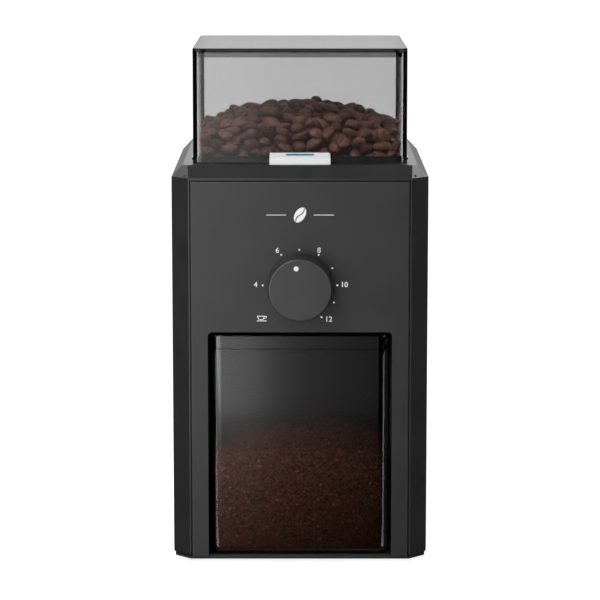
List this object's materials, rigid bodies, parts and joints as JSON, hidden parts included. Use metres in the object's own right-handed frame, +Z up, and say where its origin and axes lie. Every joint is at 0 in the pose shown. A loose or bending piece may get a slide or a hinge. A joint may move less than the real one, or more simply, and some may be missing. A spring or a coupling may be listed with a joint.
{
  "type": "burr coffee grinder",
  "caption": "Counter-top electric burr coffee grinder with a clear bean hopper, front dose dial, side fineness dial and pull-out grounds container.",
  "frame": {"origin": "centre of the bounding box's base, on the surface that the rubber feet stand on", "axes": "+Z up, +X to the right of a user who stands in front, -Y towards that user; the dose dial and the grounds container face -Y"},
  "size_m": [0.13, 0.17, 0.2627],
  "materials": {
    "housing_black": "satin moulded black",
    "panel_black": "satin moulded black, a little smoother",
    "base_black": "plain black",
    "rubber_black": "soft matte",
    "zinc_steel": "zinc-plated pressed steel",
    "bright_steel": "ground",
    "burr_steel": "hardened and ground",
    "bronze": "sintered",
    "core_iron": "laminated core with copper windings",
    "ferrite": "fired",
    "inner_grey": "glass-filled nylon",
    "gear_nylon": "acetal",
    "smoke_clear": "transparent smoke-grey",
    "smoke_lid": "transparent smoke-grey",
    "funnel_black": "polished black",
    "dial_black": "satin black",
    "print_white": "white inlay",
    "button_white": "glossy white",
    "accent_blue": "blue inlay",
    "circuit_green": "solder mask",
    "component_blue": "moulded",
    "component_black": "moulded",
    "wire_brown": "PVC insulation",
    "roasted_beans": "oily roasted beans",
    "ground_coffee": "ground coffee"
  },
  "bodies": {
    "root": {"main_housing": "housing_black", "front_panel": "panel_black", "base_plate": "base_black", "rubber_feet": "rubber_black", "case_screws": "zinc_steel", "chassis": "base_black", "cord_gland": "base_black", "bean_hopper": "smoke_clear", "hopper_funnel": "funnel_black", "coffee_beans": "roasted_beans", "motor_can": "zinc_steel", "motor_screws": "zinc_steel", "motor_magnets": "ferrite", "motor_end_cap": "inner_grey", "carbon_brushes": "ferrite", "intermediate_pin": "bright_steel", "gearbox_base": "zinc_steel", "lower_bush": "bronze", "upper_bush": "bronze", "grinding_chamber": "inner_grey", "funnel_seal": "rubber_black", "fineness_bracket": "inner_grey", "grounds_chute": "inner_grey", "potentiometer": "zinc_steel", "potentiometer_nut": "zinc_steel", "control_board": "circuit_green", "relay": "component_blue", "capacitor": "component_black", "button_guide": "inner_grey", "button_spring": "bright_steel", "start_switch": "component_black", "safety_switch": "component_black", "terminal_block": "button_white", "mains_wires": "wire_brown"},
    "lid": {"hopper_lid": "smoke_lid"},
    "button": {"start_button": "button_white", "button_mark": "accent_blue"},
    "plunger": {"switch_plunger": "button_white"},
    "dose_dial": {"dose_knob": "dial_black", "knob_pointer": "print_white", "dose_shaft": "bright_steel"},
    "fineness_dial": {"fineness_knob": "dial_black", "fineness_shaft": "gear_nylon"},
    "adjuster": {"adjuster_ring": "gear_nylon"},
    "upper_burr_set": {"upper_burr_carrier": "inner_grey", "upper_burr": "burr_steel"},
    "burr_rotor": {"burr_shaft": "bright_steel", "rotor": "inner_grey", "lower_burr": "burr_steel", "feed_nut": "bright_steel", "output_gear": "gear_nylon"},
    "intermediate": {"intermediate_gear": "gear_nylon"},
    "motor_rotor": {"motor_shaft": "bright_steel", "armature": "core_iron", "motor_pinion": "bronze", "motor_fan": "inner_grey"},
    "container": {"grounds_container": "smoke_clear", "container_lid": "smoke_clear", "ground_coffee": "ground_coffee"},
    "interlock": {"safety_plunger": "component_black"}
  },
  "joints": [
    {"name": "lid_lift", "type": "slide", "parent": "root", "child": "lid", "axis": [0, 0, 1], "range_m": [0, 0.06]},
    {"name": "button_press", "type": "slide", "parent": "root", "child": "button", "axis": [0, 0, -1], "range_m": [0, 0.0015], "stiffness_N_per_m": 400, "springref_m": -0.003, "deforming": ["button_spring"]},
    {"name": "plunger_press", "type": "slide", "parent": "root", "child": "plunger", "axis": [0, 0, -1], "range_m": [0, 0.0015]},
    {"name": "dose_turn", "type": "hinge", "parent": "root", "child": "dose_dial", "pos_m": [0, -0.073, 0.1434], "axis": [0, 1, 0], "range_deg": [-110, 155]},
    {"name": "fineness_turn", "type": "hinge", "parent": "root", "child": "fineness_dial", "pos_m": [0.06, -0.00175, 0.16565], "axis": [1, 0, 0], "range_deg": [-135, 135]},
    {"name": "adjuster_turn", "type": "hinge", "parent": "root", "child": "adjuster", "pos_m": [0, -0.00175, 0.1699], "axis": [0, 0, 1], "range_deg": [-20.24, 20.24]},
    {"name": "upper_burr_lift", "type": "slide", "parent": "root", "child": "upper_burr_set", "axis": [0, 0, 1], "range_m": [-0.00045, 0.00045]},
    {"name": "burr_spin", "type": "hinge", "parent": "root", "child": "burr_rotor", "pos_m": [0, -0.00175, 0.1501], "axis": [0, 0, 1], "continuous": true},
    {"name": "intermediate_spin", "type": "hinge", "parent": "root", "child": "intermediate", "pos_m": [0.01132, 0.02818, 0.1276], "axis": [0, 0, 1], "continuous": true},
    {"name": "motor_spin", "type": "hinge", "parent": "root", "child": "motor_rotor", "pos_m": [0, 0.05025, 0.1276], "axis": [0, 0, 1], "continuous": true},
    {"name": "container_slide", "type": "slide", "parent": "root", "child": "container", "axis": [0, -1, 0], "range_m": [0, 0.11]},
    {"name": "interlock_slide", "type": "slide", "parent": "root", "child": "interlock", "axis": [0, -1, 0], "range_m": [0, 0.003]}
  ],
  "couplings": [
    {"joint": "plunger_press", "follows": "button_press", "ratio": 1},
    {"joint": "fineness_turn", "follows": "adjuster_turn", "ratio": -6.6667},
    {"joint": "upper_burr_lift", "follows": "adjuster_turn", "m_per_rad": 0.0012732},
    {"joint": "intermediate_spin", "follows": "burr_spin", "ratio": -4.3333},
    {"joint": "motor_spin", "follows": "burr_spin", "ratio": 18.056},
    {"joint": "interlock_slide", "follows": "container_slide", "ratio": 0.027273}
  ]
}
